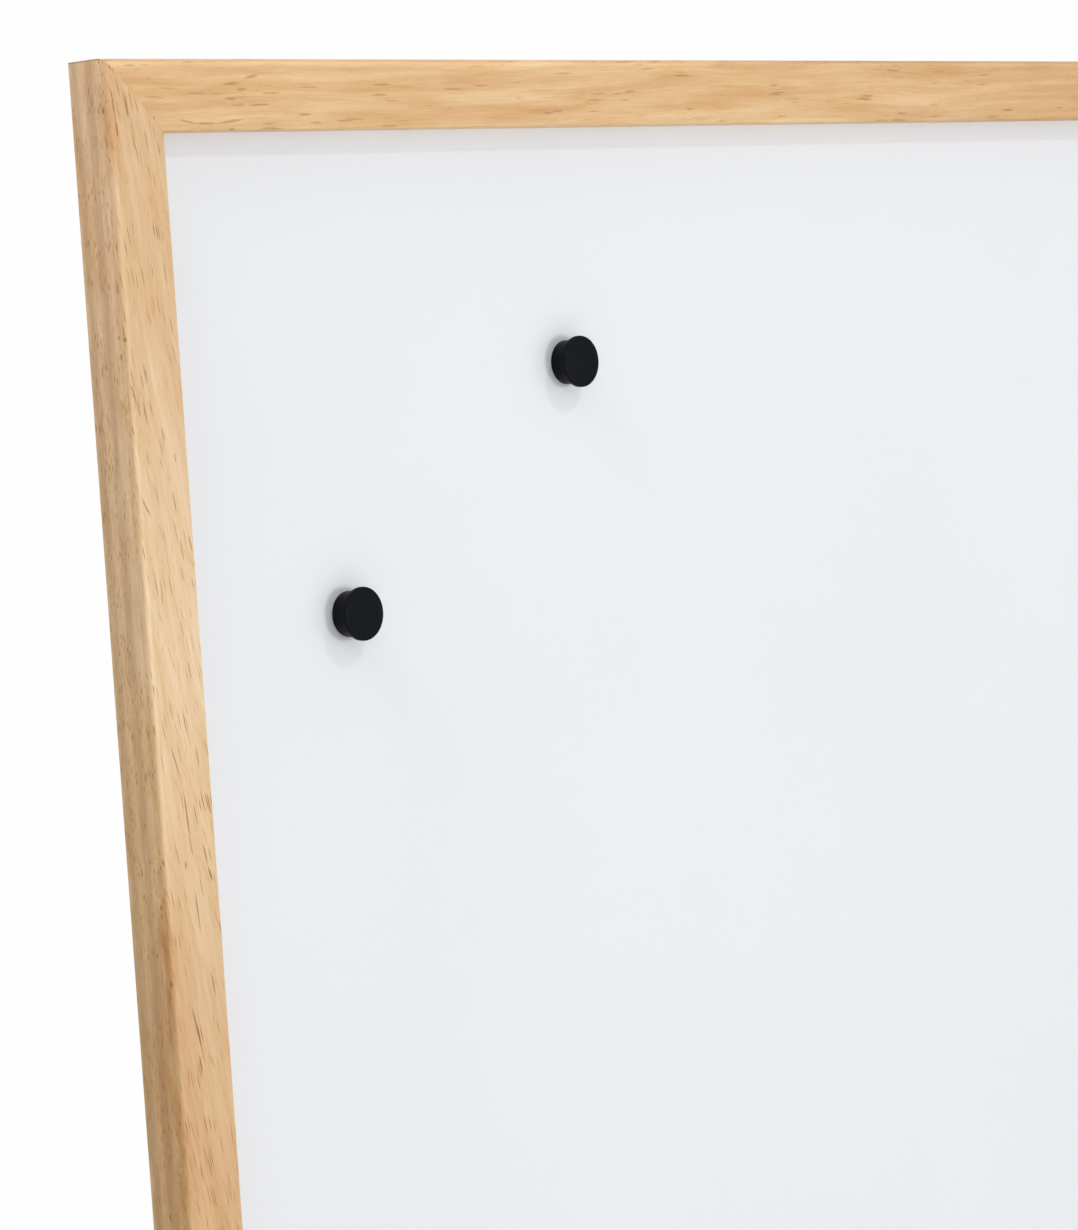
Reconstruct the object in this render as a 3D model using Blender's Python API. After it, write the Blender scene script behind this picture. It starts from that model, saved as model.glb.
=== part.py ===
"""A magnetic whiteboard in a mitred wooden frame, which hangs on a wall by two keyhole plates.

Metres, +Z up. The front faces -Y and the wall plane is y = 0. The origin is on the wall plane,
at the middle of the top rail's back face.

Every piece is drawn in a local frame whose third axis, w, runs forwards from the wall plane.
"""

import math

import bmesh
import bpy
from mathutils import Matrix, Vector

MM = 0.001

# Whole board
BOARD_WIDTH = 600 * MM
BOARD_HEIGHT = 450 * MM

# Frame moulding: v runs inwards from the outer edge
MOULDING_WIDTH = 20 * MM
MOULDING_DEPTH = 15 * MM
OUTER_RADIUS = 2.4 * MM
SIGHT_RADIUS = 0.6 * MM
BACK_CHAMFER = 0.5 * MM
REBATE_WIDTH = 7 * MM
ROUND_STEPS = 8
SIGHT_STEPS = 3

# Writing panel
RECESS = 6.5 * MM  # from the sight edge back to the writing face
SHEET_THICKNESS = 0.5 * MM
BACKER_THICKNESS = 3.2 * MM
PANEL_CLEARANCE = 1 * MM  # all round, between the panel and the rebate

# Clearances between pieces that touch on the real board
SEAT_GAP = 0.3 * MM
CUT_OVERRUN = 1 * MM  # how far a cutter starts outside the wood

# V nails driven across each mitre from behind
V_NAIL_LEG = 4.5 * MM
V_NAIL_THICKNESS = 0.6 * MM
V_NAIL_HEIGHT = 7 * MM
V_NAIL_SUNK = 0.2 * MM
V_NAIL_EDGE_OUTER = 2.2 * MM
V_NAIL_EDGE_REBATE = 1.2 * MM

# Framing points that hold the panel in the rebate
POINT_SPACING = 150 * MM
FEWEST_POINTS = 2  # on any side
POINT_WIDTH = 6 * MM
POINT_THICKNESS = 0.5 * MM
POINT_BITE = 4.5 * MM  # length in the wood
POINT_REACH = 7 * MM  # length that shows
POINT_TIP = 2 * MM

# Keyhole plates on the stiles: places along a plate are up from the centre of its round hole
HANGER_DROP = 50 * MM  # from the top edge of the board to the round hole
PLATE_WIDTH = 10 * MM
PLATE_THICKNESS = 1.2 * MM
PLATE_SUNK = 0.2 * MM
PLATE_STEPS = 10
KEYHOLE_RADIUS = 3.8 * MM
KEYHOLE_SLOT_WIDTH = 3.8 * MM
KEYHOLE_RISE = 8 * MM
KEYHOLE_STEPS = 18
SCREW_BELOW = 9.5 * MM
SCREW_ABOVE = 17.5 * MM
POCKET_RADIUS = 4.4 * MM
POCKET_DEPTH = 5.3 * MM

# Countersunk plate screws
SCREW_HEAD_RADIUS = 2.5 * MM
SCREW_SHANK_RADIUS = 1.25 * MM
SCREW_LENGTH = 7.8 * MM
SCREW_TIP = 1.8 * MM
SCREW_STEPS = 20
CROSS_SPAN = 2.8 * MM
CROSS_WIDTH = 0.6 * MM
CROSS_DEPTH = 0.8 * MM

# Button magnets: places are from the board's left and top edges
MAGNET_PLACES = {"upper": (182.4 * MM, 90.7 * MM), "lower": (83.5 * MM, 158.1 * MM)}
KNOB_CAP_RADIUS = 7.75 * MM
KNOB_BODY_RADIUS = 6.65 * MM
KNOB_HEIGHT = 6.3 * MM
KNOB_RIM = 1.4 * MM
KNOB_FILLET = 0.5 * MM
KNOB_EDGE = 0.25 * MM
DISC_RADIUS = 4.75 * MM
DISC_THICKNESS = 2.5 * MM
KNOB_STEPS = 48
KNOB_EDGE_STEPS = 3
DISC_STEPS = 32

# Levels above the wall plane, and sizes that follow
BACK_WIDTH = MOULDING_WIDTH - REBATE_WIDTH
WRITING_FACE = MOULDING_DEPTH - RECESS
LEDGE = WRITING_FACE + SEAT_GAP
SHEET_BACK = WRITING_FACE - SHEET_THICKNESS
BACKER_FRONT = SHEET_BACK - SEAT_GAP
BACKER_BACK = BACKER_FRONT - BACKER_THICKNESS
POINT_FRONT = BACKER_BACK - SEAT_GAP
POINT_BACK = POINT_FRONT - POINT_THICKNESS
PANEL_INSET = BACK_WIDTH + PANEL_CLEARANCE
PLATE_FRONT = PLATE_SUNK + PLATE_THICKNESS
PLATE_SEAT = PLATE_FRONT + SEAT_GAP

SHARP_ANGLE = math.radians(30)
FORWARD = Vector((0, -1, 0))
TOP_EDGE = BACK_WIDTH / 2
CENTRE = Vector((0, 0, TOP_EDGE - BOARD_HEIGHT / 2))

# Each side's inward direction and its distance from the centre, in order round the frame
SIDES = {
    "top": (Vector((0, 0, -1)), BOARD_HEIGHT / 2),
    "left": (Vector((1, 0, 0)), BOARD_WIDTH / 2),
    "bottom": (Vector((0, 0, 1)), BOARD_HEIGHT / 2),
    "right": (Vector((-1, 0, 0)), BOARD_WIDTH / 2),
}
MEMBER_NAMES = {
    "top": "frame_rail_top",
    "left": "frame_stile_left",
    "bottom": "frame_rail_bottom",
    "right": "frame_stile_right",
}


def clear_scene():
    for obj in list(bpy.data.objects):
        bpy.data.objects.remove(obj)


def new_material(name, colour, roughness, metallic=0.0):
    material = bpy.data.materials.new(name)
    material.use_nodes = True
    shader = material.node_tree.nodes["Principled BSDF"]
    shader.inputs["Base Color"].default_value = (*colour, 1)
    shader.inputs["Roughness"].default_value = roughness
    shader.inputs["Metallic"].default_value = metallic
    return material


def local_frame(first, second, origin):
    """A placement whose axes are first, second and their cross product."""
    third = first.cross(second)
    matrix = Matrix((first, second, third)).transposed().to_4x4()
    matrix.translation = origin
    return matrix


def side_frame(side):
    """Along the side, inwards, forwards, from the middle of the side's outer edge on the wall plane."""
    inward, distance = SIDES[side]
    return local_frame(inward.cross(FORWARD), inward, CENTRE - inward * distance)


def corner_frame(side, following):
    """Inwards from one side, inwards from the next, forwards, from the frame's outer corner."""
    (first, reach), (second, span) = SIDES[side], SIDES[following]
    return local_frame(first, second, CENTRE - first * reach - second * span)


def upright_frame(x, z, level):
    """Up, towards -X, forwards, from a point at this level above the wall plane."""
    origin = Vector((x, 0, z)) + FORWARD * level
    return local_frame(Vector((0, 0, 1)), Vector((-1, 0, 0)), origin)


def place(name, mesh, matrix, material=None):
    obj = bpy.data.objects.new(name, mesh)
    bpy.context.scene.collection.objects.link(obj)
    obj.matrix_world = matrix
    if material:
        mesh.materials.append(material)
        mesh.shade_smooth()
        mesh.set_sharp_from_angle(angle=SHARP_ANGLE)
    else:
        obj.hide_render = True
        obj.display_type = "WIRE"
    return obj


def cut(target, name, mesh, matrix):
    """Takes the mesh, placed by matrix, out of the target."""
    cutter = place(name, mesh, matrix)
    modifier = target.modifiers.new(name, "BOOLEAN")
    modifier.operation = "DIFFERENCE"
    modifier.solver = "EXACT"
    modifier.object = cutter


def finished_mesh(name, bm):
    bmesh.ops.recalc_face_normals(bm, faces=bm.faces)
    mesh = bpy.data.meshes.new(name)
    bm.to_mesh(mesh)
    bm.free()
    return mesh


def arc(centre, radius, start, end, steps):
    """Points from one angle to another, both in degrees and both included."""
    points = []
    for step in range(steps + 1):
        angle = math.radians(start + (end - start) * step / steps)
        points.append((centre[0] + radius * math.cos(angle), centre[1] + radius * math.sin(angle)))
    return points


def prism(name, outline, low, high):
    """The outline stood up between two levels of w."""
    bm = bmesh.new()
    floor = [bm.verts.new((x, y, low)) for x, y in outline]
    roof = [bm.verts.new((x, y, high)) for x, y in outline]
    bm.faces.new(floor)
    bm.faces.new(roof)
    for index, corner in enumerate(floor):
        following = (index + 1) % len(floor)
        bm.faces.new((corner, floor[following], roof[following], roof[index]))
    return finished_mesh(name, bm)


def turned(name, profile, steps):
    """(radius, w) points turned about w. The first and last points lie on the axis."""
    bm = bmesh.new()
    first = bm.verts.new((0, 0, profile[0][1]))
    last = bm.verts.new((0, 0, profile[-1][1]))
    rings = []
    for radius, level in profile[1:-1]:
        circle = arc((0, 0), radius, 0, 360, steps)[:-1]
        rings.append([bm.verts.new((x, y, level)) for x, y in circle])
    for index in range(steps):
        following = (index + 1) % steps
        bm.faces.new((first, rings[0][index], rings[0][following]))
        bm.faces.new((last, rings[-1][index], rings[-1][following]))
        for inner, outer in zip(rings, rings[1:]):
            bm.faces.new((inner[index], inner[following], outer[following], outer[index]))
    return finished_mesh(name, bm)


def stadium(half_width, low, high, steps):
    """Two half circles round (low, 0) and (high, 0), joined by straight sides."""
    return arc((high, 0), half_width, -90, 90, steps) + arc((low, 0), half_width, 90, 270, steps)


def moulding_section():
    """(v, w) outline of the moulding, from the outer back edge up over the face to the rebate."""
    outer = (OUTER_RADIUS, MOULDING_DEPTH - OUTER_RADIUS)
    sight = (MOULDING_WIDTH - SIGHT_RADIUS, MOULDING_DEPTH - SIGHT_RADIUS)
    section = [(BACK_CHAMFER, 0), (0, BACK_CHAMFER)]
    section += arc(outer, OUTER_RADIUS, 180, 90, ROUND_STEPS)
    section += arc(sight, SIGHT_RADIUS, 90, 0, SIGHT_STEPS)
    section += [(MOULDING_WIDTH, LEDGE), (BACK_WIDTH, LEDGE), (BACK_WIDTH, 0)]
    return section


def mitred_bar(name, length):
    """The moulding along u, cut at 45 degrees at both ends, half a seat gap short of each mitre."""
    setback = SEAT_GAP / math.sqrt(2)
    bm = bmesh.new()
    section = moulding_section()
    ends = []
    for sign in (-1, 1):
        ends.append([bm.verts.new((sign * (length / 2 - v - setback), v, w)) for v, w in section])
        bm.faces.new(ends[-1])
    for index in range(len(section)):
        following = (index + 1) % len(section)
        start, end = ends
        bm.faces.new((start[index], start[following], end[following], end[index]))
    return finished_mesh(name, bm)


def make_frame(wood):
    members = {}
    for side, name in MEMBER_NAMES.items():
        length = BOARD_WIDTH if side in ("top", "bottom") else BOARD_HEIGHT
        members[side] = place(name, mitred_bar(name, length), side_frame(side), wood)
    return members


def panel(name, low, high, material):
    half_width = BOARD_WIDTH / 2 - PANEL_INSET
    half_height = BOARD_HEIGHT / 2 - PANEL_INSET
    outline = [
        (-half_height, -half_width),
        (half_height, -half_width),
        (half_height, half_width),
        (-half_height, half_width),
    ]
    place(name, prism(name, outline, low, high), upright_frame(0, CENTRE.z, 0), material)


def v_nail_outline(corner, grow=0.0):
    """A bent strip with its bend on the mitre and a leg along each member."""
    near = corner - grow
    far = corner + V_NAIL_LEG + grow
    bend = corner + V_NAIL_THICKNESS + grow
    return [(near, near), (far, near), (far, bend), (bend, bend), (bend, far), (near, far)]


def make_v_nails(members, steel):
    corners = {
        "outer": V_NAIL_EDGE_OUTER,
        "inner": BACK_WIDTH - V_NAIL_EDGE_REBATE - V_NAIL_LEG,
    }
    order = list(SIDES)
    for side, following in zip(order, order[1:] + order[:1]):
        matrix = corner_frame(side, following)
        rail, stile = (side, following) if side in ("top", "bottom") else (following, side)
        for place_name, corner in corners.items():
            name = f"v_nail_{rail}_{stile}_{place_name}"
            strip = prism(name, v_nail_outline(corner), V_NAIL_SUNK, V_NAIL_SUNK + V_NAIL_HEIGHT)
            place(name, strip, matrix, steel)
            slot_end = V_NAIL_SUNK + V_NAIL_HEIGHT + SEAT_GAP
            slot = prism(name + "_slot", v_nail_outline(corner, SEAT_GAP), -CUT_OVERRUN, slot_end)
            for member in (members[side], members[following]):
                cut(member, name + "_slot", slot, matrix)


def make_framing_points(members, steel):
    """Steel points pushed into the rebate's wall, lying over the back of the panel."""
    half = POINT_WIDTH / 2
    tip = BACK_WIDTH - POINT_BITE
    end = BACK_WIDTH + POINT_REACH
    blade = [(-half, end), (-half, tip + POINT_TIP), (0, tip), (half, tip + POINT_TIP), (half, end)]
    wide = half + SEAT_GAP
    slot_end = BACK_WIDTH + CUT_OVERRUN
    slot = [(-wide, slot_end), (-wide, tip - SEAT_GAP), (wide, tip - SEAT_GAP), (wide, slot_end)]
    for side, member in members.items():
        length = BOARD_WIDTH if side in ("top", "bottom") else BOARD_HEIGHT
        count = max(FEWEST_POINTS, round(length / POINT_SPACING))
        for index in range(count):
            along = (index - (count - 1) / 2) * length / count
            matrix = side_frame(side) @ Matrix.Translation((along, 0, 0))
            name = f"framing_point_{side}_{index + 1}"
            place(name, prism(name, blade, POINT_BACK, POINT_FRONT), matrix, steel)
            slot_mesh = prism(name + "_slot", slot, POINT_BACK - SEAT_GAP, POINT_FRONT + SEAT_GAP)
            cut(member, name + "_slot", slot_mesh, matrix)


def keyhole_outline():
    """A round hole with a slot that runs up from it."""
    half = KEYHOLE_SLOT_WIDTH / 2
    meeting = math.degrees(math.asin(half / KEYHOLE_RADIUS))
    round_hole = arc((0, 0), KEYHOLE_RADIUS, meeting, 360 - meeting, KEYHOLE_STEPS)
    return round_hole + arc((KEYHOLE_RISE, 0), half, -90, 90, KEYHOLE_STEPS // 2)


def cross_outline():
    """A cross with arms of CROSS_WIDTH and an overall span of CROSS_SPAN."""
    arm, half = CROSS_SPAN / 2, CROSS_WIDTH / 2
    quarter = [(arm, -half), (arm, half), (half, half)]
    cross = []
    for turn in range(4):
        spin = Matrix.Rotation(turn * math.pi / 2, 2)
        cross += [tuple(spin @ Vector(point)) for point in quarter]
    return cross


def make_screw(name, matrix, steel):
    """A countersunk wood screw whose head is flush with the plate's back. Its thread is left plain."""
    profile = [
        (0, 0),
        (SCREW_HEAD_RADIUS, 0),
        (SCREW_SHANK_RADIUS, SCREW_HEAD_RADIUS - SCREW_SHANK_RADIUS),
        (SCREW_SHANK_RADIUS, SCREW_LENGTH - SCREW_TIP),
        (0, SCREW_LENGTH),
    ]
    screw = place(name, turned(name, profile, SCREW_STEPS), matrix, steel)
    cut(screw, name + "_cross", prism("cross", cross_outline(), -CUT_OVERRUN, CROSS_DEPTH), matrix)


def countersink_profile():
    """A 45 degree cone that clears the screw's head by a seat gap, run on past both faces of the plate."""
    widest = SCREW_HEAD_RADIUS + SEAT_GAP * math.sqrt(2)
    through = PLATE_THICKNESS + CUT_OVERRUN
    mouth = widest + CUT_OVERRUN
    return [(0, -CUT_OVERRUN), (mouth, -CUT_OVERRUN), (widest - through, through), (0, through)]


def pilot_profile():
    bore = SCREW_SHANK_RADIUS + SEAT_GAP
    depth = SCREW_LENGTH + SEAT_GAP
    return [(0, 0), (bore, 0), (bore, depth), (0, depth)]


def make_hanger(side, member, matrix, steel):
    """A keyhole plate let into the stile's back, the pocket behind it and the two screws that hold it."""
    plate_outline = stadium(PLATE_WIDTH / 2, -SCREW_BELOW, SCREW_ABOVE, PLATE_STEPS)
    plate_name = f"hanger_plate_{side}"
    plate = place(plate_name, prism(plate_name, plate_outline, PLATE_SUNK, PLATE_FRONT), matrix, steel)
    keyhole = prism("keyhole", keyhole_outline(), -CUT_OVERRUN, PLATE_FRONT + CUT_OVERRUN)
    cut(plate, plate_name + "_keyhole", keyhole, matrix)

    seat_outline = stadium(PLATE_WIDTH / 2 + SEAT_GAP, -SCREW_BELOW, SCREW_ABOVE, PLATE_STEPS)
    cut(member, plate_name + "_seat", prism("plate_seat", seat_outline, -CUT_OVERRUN, PLATE_SEAT), matrix)
    pocket_outline = stadium(POCKET_RADIUS, 0, KEYHOLE_RISE, PLATE_STEPS)
    pocket = prism("head_pocket", pocket_outline, 0, PLATE_SEAT + POCKET_DEPTH)
    cut(member, plate_name + "_pocket", pocket, matrix)

    for level, up in (("lower", -SCREW_BELOW), ("upper", SCREW_ABOVE)):
        name = f"hanger_screw_{side}_{level}"
        screw_matrix = matrix @ Matrix.Translation((up, 0, PLATE_SUNK))
        make_screw(name, screw_matrix, steel)
        countersink = turned("countersink", countersink_profile(), SCREW_STEPS)
        cut(plate, name + "_countersink", countersink, screw_matrix)
        cut(member, name + "_pilot", turned("pilot", pilot_profile(), SCREW_STEPS), screw_matrix)


def make_hangers(members, steel):
    across = BOARD_WIDTH / 2 - BACK_WIDTH / 2
    for side, sign in (("left", -1), ("right", 1)):
        make_hanger(side, members[side], upright_frame(sign * across, TOP_EDGE - HANGER_DROP, 0), steel)


def knob_profile():
    """From the top of the magnet's pocket out over the base, body, rim and cap."""
    pocket_radius = DISC_RADIUS + SEAT_GAP
    pocket_top = DISC_THICKNESS + SEAT_GAP
    neck = KNOB_HEIGHT - KNOB_RIM
    profile = [(0, pocket_top), (pocket_radius, pocket_top), (pocket_radius, 0)]
    profile += [(KNOB_BODY_RADIUS - KNOB_EDGE, 0), (KNOB_BODY_RADIUS, KNOB_EDGE)]
    profile += arc((KNOB_BODY_RADIUS + KNOB_FILLET, neck - KNOB_FILLET), KNOB_FILLET, 180, 90, KNOB_EDGE_STEPS)
    cap_edge = KNOB_CAP_RADIUS - KNOB_EDGE
    profile += arc((cap_edge, neck + KNOB_EDGE), KNOB_EDGE, -90, 0, KNOB_EDGE_STEPS)
    profile += arc((cap_edge, KNOB_HEIGHT - KNOB_EDGE), KNOB_EDGE, 0, 90, KNOB_EDGE_STEPS)
    profile.append((0, KNOB_HEIGHT))
    return profile


def make_magnets(plastic, ferrite):
    for name, (across, down) in MAGNET_PLACES.items():
        matrix = upright_frame(across - BOARD_WIDTH / 2, TOP_EDGE - down, WRITING_FACE + SEAT_GAP)
        knob = f"magnet_knob_{name}"
        place(knob, turned(knob, knob_profile(), KNOB_STEPS), matrix, plastic)
        disc = f"magnet_disc_{name}"
        profile = [(0, 0), (DISC_RADIUS, 0), (DISC_RADIUS, DISC_THICKNESS), (0, DISC_THICKNESS)]
        place(disc, turned(disc, profile, DISC_STEPS), matrix, ferrite)


def main():
    clear_scene()
    wood = new_material("pine", (0.72, 0.5, 0.27), 0.55)
    enamel = new_material("white_enamel", (0.86, 0.87, 0.9), 0.25)
    hardboard = new_material("hardboard", (0.2, 0.12, 0.07), 0.8)
    steel = new_material("zinc_plated_steel", (0.62, 0.62, 0.6), 0.35, 1.0)
    plastic = new_material("black_plastic", (0.013, 0.014, 0.016), 0.5)
    ferrite = new_material("ferrite", (0.06, 0.06, 0.065), 0.6)

    members = make_frame(wood)
    panel("writing_sheet", SHEET_BACK, WRITING_FACE, enamel)
    panel("backer_board", BACKER_BACK, BACKER_FRONT, hardboard)
    make_v_nails(members, steel)
    make_framing_points(members, steel)
    make_hangers(members, steel)
    make_magnets(plastic, ferrite)


main()
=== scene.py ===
"""The look of a magnetic whiteboard: a mitred wooden frame, a white enamelled sheet and two button magnets.

Metres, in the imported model's frame: the front faces -Y, the wall plane is y = 0 and +Z is up.
Frame members are drawn in a local frame: u along the side, v inwards from the outer edge and
w forwards from the wall plane.
"""

import math

import bmesh
import bpy
from mathutils import Matrix, Vector, noise


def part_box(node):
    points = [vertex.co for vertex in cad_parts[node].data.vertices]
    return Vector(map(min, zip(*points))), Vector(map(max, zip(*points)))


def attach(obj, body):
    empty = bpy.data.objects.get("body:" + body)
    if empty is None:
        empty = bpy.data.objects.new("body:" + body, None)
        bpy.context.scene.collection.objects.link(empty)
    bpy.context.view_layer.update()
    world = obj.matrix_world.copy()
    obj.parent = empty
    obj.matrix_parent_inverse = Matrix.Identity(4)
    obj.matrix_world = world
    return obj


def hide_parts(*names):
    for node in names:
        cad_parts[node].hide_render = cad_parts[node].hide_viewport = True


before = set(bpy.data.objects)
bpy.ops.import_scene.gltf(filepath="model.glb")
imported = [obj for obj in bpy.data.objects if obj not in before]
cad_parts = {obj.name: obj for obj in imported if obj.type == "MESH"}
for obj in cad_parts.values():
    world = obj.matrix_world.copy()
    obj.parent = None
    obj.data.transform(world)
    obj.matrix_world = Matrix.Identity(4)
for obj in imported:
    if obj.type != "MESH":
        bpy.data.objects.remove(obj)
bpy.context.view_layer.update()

MM = 0.001
FORWARD = Vector((0, -1, 0))
SHARP_ANGLE = math.radians(28)

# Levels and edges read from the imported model
STILE_LOW, STILE_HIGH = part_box("frame_stile_left")
RAIL_LOW, RAIL_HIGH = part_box("frame_rail_top")
LEFT_EDGE = STILE_LOW.x
TOP_EDGE = RAIL_HIGH.z
BOARD_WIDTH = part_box("frame_stile_right")[1].x - LEFT_EDGE
BOARD_HEIGHT = TOP_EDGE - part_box("frame_rail_bottom")[0].z
MOULDING_WIDTH = STILE_HIGH.x - STILE_LOW.x
MOULDING_DEPTH = -RAIL_LOW.y
WRITING_FACE = -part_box("writing_sheet")[0].y
CENTRE = Vector((LEFT_EDGE + BOARD_WIDTH / 2, 0, TOP_EDGE - BOARD_HEIGHT / 2))

# Moulding section
BACK_WIDTH = 13 * MM
OUTER_RADIUS = 2.4 * MM
CORNER_EASING = 0.5 * MM  # how much wider the rounding is at a mitre
CORNER_REACH = 10 * MM
HAND_WAVER = 0.12 * MM  # how far the rounding wanders along a member
WAVER_LENGTH = 40 * MM
SIGHT_RADIUS = 0.6 * MM
BACK_RADIUS = 0.5 * MM
LEDGE_GAP = 0.02 * MM
MITRE_GAP = 0.015 * MM
ROUND_STEPS = 16
SIGHT_STEPS = 6
STATION_SPACING = 3 * MM

# How far a cutter starts outside what it cuts
CUT_OVERRUN = 1 * MM

# Panel
PANEL_CELL = 6 * MM
SWELL_LENGTH = 120 * MM
SHEET_SWELL = 0.05 * MM
BACKER_SWELL = 0.12 * MM

# V nails, and how closely the wood holds them
NAIL_LEG = 4.5 * MM
NAIL_THICKNESS = 0.6 * MM
NAIL_BEND = 0.5 * MM
NAIL_EDGE = 1.2 * MM
NAIL_EDGE_THICKNESS = 0.12 * MM
NAIL_FIT = 0.05 * MM

# Framing points
POINT_CORNER = 0.8 * MM
POINT_TIP = 2 * MM
POINT_TIP_WIDTH = 0.3 * MM
POINT_LIFT = 0.28 * MM  # the showing end rises to press on the backer
POINT_RISE = 3 * MM
POINT_EDGE = 0.08 * MM
POINT_FIT = 0.04 * MM

# Keyhole plates: places along a plate are up from the centre of its round hole
PLATE_FIT = 0.25 * MM
PLATE_EDGE = 0.15 * MM
KEYHOLE_RADIUS = 3.8 * MM
KEYHOLE_SLOT_WIDTH = 3.8 * MM
KEYHOLE_RISE = 8 * MM
SCREW_BELOW = 9.5 * MM
POCKET_RADIUS = 4.4 * MM
POCKET_DEPTH = 5.3 * MM
PLATE_STEPS = 24

# Plate screws
THREAD_PITCH = 1.1 * MM
THREAD_DEPTH = 0.4 * MM
SCREW_HEAD_EDGE = 0.15 * MM
SCREW_NECK = 0.4 * MM  # from the head's cone to the first thread
SCREW_TIP = 1.8 * MM
SCREW_POINT_RADIUS = 0.08 * MM
SCREW_STEPS = 40
CROSS_SPAN = 2.8 * MM
CROSS_WIDTH = 0.6 * MM
CROSS_DEPTH = 0.8 * MM
PILOT_GAP = 0.1 * MM
PILOT_TIP_RADIUS = 0.3 * MM
COUNTERSINK_GAP = 0.12 * MM

# Button magnets
KNOB_RIM = 1.4 * MM
KNOB_FILLET = 0.5 * MM
KNOB_CAP_EDGE = 0.35 * MM
KNOB_BASE_EDGE = 0.25 * MM
KNOB_BODY_INSET = 1.1 * MM
KNOB_DISH_INSET = 0.75 * MM
KNOB_DISH_DEPTH = 0.08 * MM
KNOB_DISH_SLOPE = 0.5 * MM  # width of the slope from the rim down to the dish
KNOB_DISH_STEPS = 6
KNOB_STEPS = 128
DISC_EDGE = 0.2 * MM
DISC_FIT = 0.15 * MM
SHEET_CONTACT = 0.01 * MM

# Camera, fitted to the frame's straight edges
CAMERA_PLACE = Vector((-1.08697, -0.90106, -0.07873))
CAMERA_RIGHT = Vector((0.68012, -0.73001, -0.06724))
CAMERA_UP = Vector((0.09092, -0.00702, 0.99583))
CAMERA_LENS = 127.33
CAMERA_SENSOR = 36

# Light
KEY_PLACE = Vector((0.145, -1.04, 1.07))
KEY_WIDTH = 0.05
KEY_POWER = 2.6
FRONT_PLACE = Vector((0.21, -1.6, -0.22))
FRONT_WIDTH = 0.35
FRONT_POWER = 6.3
SIDE_PLACE = Vector((-0.75, -0.1, 0.6))
SIDE_WIDTH = 0.3
SIDE_POWER = 2.4
LIGHTS_AIM = (180, 120)  # millimetres across and down the board
ROOM_BRIGHT_SIDE = Vector((0.9, 0.0, 0.45)).normalized()
ROOM_DIM = 0.59
ROOM_BRIGHT = 0.79
FLOOR_LEVEL = -0.75
FLOOR_RADIUS = 1.6

# Each side's inward direction and its distance from the centre
SIDES = {
    "top": (Vector((0, 0, -1)), BOARD_HEIGHT / 2),
    "left": (Vector((1, 0, 0)), BOARD_WIDTH / 2),
    "bottom": (Vector((0, 0, 1)), BOARD_HEIGHT / 2),
    "right": (Vector((-1, 0, 0)), BOARD_WIDTH / 2),
}


# Placement

def local_frame(first, second, origin):
    """A placement whose axes are first, second and their cross product."""
    third = first.cross(second)
    matrix = Matrix((first, second, third)).transposed().to_4x4()
    matrix.translation = origin
    return matrix


def side_frame(side):
    inward, distance = SIDES[side]
    return local_frame(inward.cross(FORWARD), inward, CENTRE - inward * distance)


def upright_frame(x, z, level):
    """Up, towards -X, forwards, from a point at this level above the wall plane."""
    return local_frame(Vector((0, 0, 1)), Vector((-1, 0, 0)), Vector((x, -level, z)))


def board_point(across, down, back):
    """Millimetres from the left edge, down from the top edge and back from the front plane."""
    return Vector((LEFT_EDGE + across * MM, back * MM - MOULDING_DEPTH, TOP_EDGE - down * MM))


# Mesh tools

def arc(centre, radius, start, end, steps):
    """Points from one angle to another, both in degrees and both included."""
    points = []
    for step in range(steps + 1):
        angle = math.radians(start + (end - start) * step / steps)
        points.append((centre[0] + radius * math.cos(angle), centre[1] + radius * math.sin(angle)))
    return points


def eased(share):
    """0 to 1, flat at both ends."""
    return share * share * (3 - 2 * share)


def loft(bm, rings):
    """Joins rings of as many points each into one closed skin with a flat cap at each end."""
    rings = [[bm.verts.new(point) for point in ring] for ring in rings]
    bm.faces.new(rings[0])
    bm.faces.new(rings[-1])
    for ring, following in zip(rings, rings[1:]):
        for index in range(len(ring)):
            after = (index + 1) % len(ring)
            bm.faces.new((ring[index], ring[after], following[after], following[index]))


def prism(outline, low, high):
    """The outline stood up between two levels of w."""
    bm = bmesh.new()
    loft(bm, [[(x, y, level) for x, y in outline] for level in (low, high)])
    return bm


def turned(profile, steps, thread=None):
    """(radius, w) points turned about w, the first and last on flat caps. A thread may cut into it."""
    rings = []
    for radius, level in profile:
        ring = []
        for step in range(steps):
            turn = step / steps
            here = radius - (thread(turn, level) if thread else 0)
            angle = 2 * math.pi * turn
            ring.append((here * math.cos(angle), here * math.sin(angle), level))
        rings.append(ring)
    bm = bmesh.new()
    loft(bm, rings)
    return bm


def stadium(half_width, low, high, steps):
    """Two half circles round (low, 0) and (high, 0), joined by straight sides."""
    return arc((high, 0), half_width, -90, 90, steps) + arc((low, 0), half_width, 90, 270, steps)


def place(name, bm, matrix, material=None):
    bmesh.ops.recalc_face_normals(bm, faces=bm.faces)
    mesh = bpy.data.meshes.new(name)
    bm.to_mesh(mesh)
    bm.free()
    obj = bpy.data.objects.new(name, mesh)
    bpy.context.scene.collection.objects.link(obj)
    obj.matrix_world = matrix
    if material:
        mesh.materials.append(material)
        shade(obj)
    return obj


def shade(obj):
    obj.data.shade_smooth()
    obj.data.set_sharp_from_angle(angle=SHARP_ANGLE)


def soften(obj, width, segments=2):
    """Rounds the sharp edges by a bevel."""
    bevel = obj.modifiers.new("soften", "BEVEL")
    bevel.width = width
    bevel.segments = segments
    bevel.limit_method = "ANGLE"
    bevel.angle_limit = SHARP_ANGLE


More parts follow.
